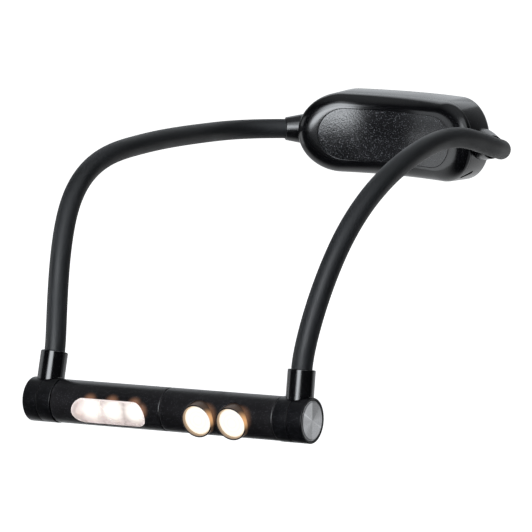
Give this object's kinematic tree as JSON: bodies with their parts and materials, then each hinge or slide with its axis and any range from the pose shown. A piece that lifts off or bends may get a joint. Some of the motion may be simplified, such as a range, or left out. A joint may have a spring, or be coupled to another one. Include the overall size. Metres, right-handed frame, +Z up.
{
  "type": "neck reading light",
  "caption": "Neck-worn reading light: a curved battery pack rests behind the neck and gooseneck arms hold a round bar with a turning flood head and a turning spot head.",
  "frame": {"origin": "middle of the neck pad's face, where the pack rests against the back of the neck", "axes": "+X along the pack towards the wearer's left and the spot head, -Y out of the pad through the neck towards the front bar, +Z up"},
  "size_m": [0.1718, 0.2565, 0.1434],
  "materials": {
    "pack_plastic": "black moulded plastic, half gloss, finely grained",
    "pad_plastic": "black plastic pad with a coarse sparkling grain",
    "screw_steel": "black oxide steel",
    "cell_foil": "silver pouch foil",
    "circuit_board": "green circuit board",
    "bright_steel": "plated steel",
    "sleeve_rubber": "matt dark grey silicone rubber",
    "gooseneck_steel": "bare wound steel",
    "lead_jacket": "black wire jacket",
    "ferrule_black": "gloss black anodised",
    "anodised_black": "satin black anodised, fine grain",
    "button_aluminium": "spun aluminium disc",
    "switch_plastic": "black switch body",
    "washer_nylon": "natural nylon",
    "clear_lens": "clear moulded acrylic",
    "silvered_plastic": "vacuum silvered plastic",
    "led_board": "white solder mask",
    "led_phosphor": "yellow phosphor over the chip"
  },
  "bodies": {
    "pack": {"pack_front_shell": "pack_plastic", "pack_rear_shell": "pack_plastic", "left_strain_relief": "pack_plastic", "right_strain_relief": "pack_plastic", "neck_pad": "pad_plastic", "pack_screw_1": "screw_steel", "pack_screw_2": "screw_steel", "pack_screw_3": "screw_steel", "pack_screw_4": "screw_steel", "battery_cell": "cell_foil", "charge_board": "circuit_board", "usb_socket": "bright_steel"},
    "loop": {"left_arm_sleeve": "sleeve_rubber", "right_arm_sleeve": "sleeve_rubber", "left_arm_core": "gooseneck_steel", "right_arm_core": "gooseneck_steel", "left_arm_lead": "lead_jacket", "right_arm_lead": "lead_jacket", "left_ferrule": "ferrule_black", "right_ferrule": "ferrule_black", "left_end_fitting": "anodised_black", "right_end_fitting": "anodised_black", "left_end_cap": "anodised_black", "right_end_cap": "anodised_black", "left_switch": "switch_plastic", "right_switch": "switch_plastic", "left_switch_board": "circuit_board", "right_switch_board": "circuit_board", "left_rivet": "bright_steel", "right_rivet": "bright_steel", "left_washer": "washer_nylon", "right_washer": "washer_nylon"},
    "flood_head": {"flood_head_tube": "anodised_black", "flood_lens": "clear_lens", "flood_reflector": "silvered_plastic", "flood_led_board": "led_board", "flood_led_left": "led_phosphor", "flood_led_middle": "led_phosphor", "flood_led_right": "led_phosphor", "middle_rivet": "bright_steel", "middle_washer": "washer_nylon"},
    "spot_head": {"spot_head_tube": "anodised_black", "left_spot_barrel": "anodised_black", "right_spot_barrel": "anodised_black", "left_spot_lens": "clear_lens", "right_spot_lens": "clear_lens", "left_spot_cup": "silvered_plastic", "right_spot_cup": "silvered_plastic", "left_spot_board": "led_board", "right_spot_board": "led_board", "left_spot_led": "led_phosphor", "right_spot_led": "led_phosphor"},
    "left_button": {"left_button": "button_aluminium"},
    "right_button": {"right_button": "button_aluminium"}
  },
  "joints": [
    {"name": "arms_tilt", "type": "hinge", "parent": "pack", "child": "loop", "pos_m": [0, -0.00275, 0], "axis": [1, 0, 0], "range_deg": [-25, 25]},
    {"name": "flood_head_turn", "type": "hinge", "parent": "loop", "child": "flood_head", "pos_m": [0.0048, -0.21445, -0.1083], "axis": [0.9991, 0.0015, 0.0422], "range_deg": [-90, 90]},
    {"name": "spot_head_turn", "type": "hinge", "parent": "loop", "child": "spot_head", "pos_m": [0.0048, -0.21445, -0.1083], "axis": [0.9991, 0.0015, 0.0422], "range_deg": [-90, 90]},
    {"name": "left_button_press", "type": "slide", "parent": "loop", "child": "left_button", "axis": [0.9991, 0.0015, 0.0422], "range_m": [0, 0.0008], "stiffness_N_per_m": 800, "springref_m": -0.0005},
    {"name": "right_button_press", "type": "slide", "parent": "loop", "child": "right_button", "axis": [-0.9991, -0.0015, -0.0422], "range_m": [0, 0.0008], "stiffness_N_per_m": 800, "springref_m": -0.0005}
  ]
}
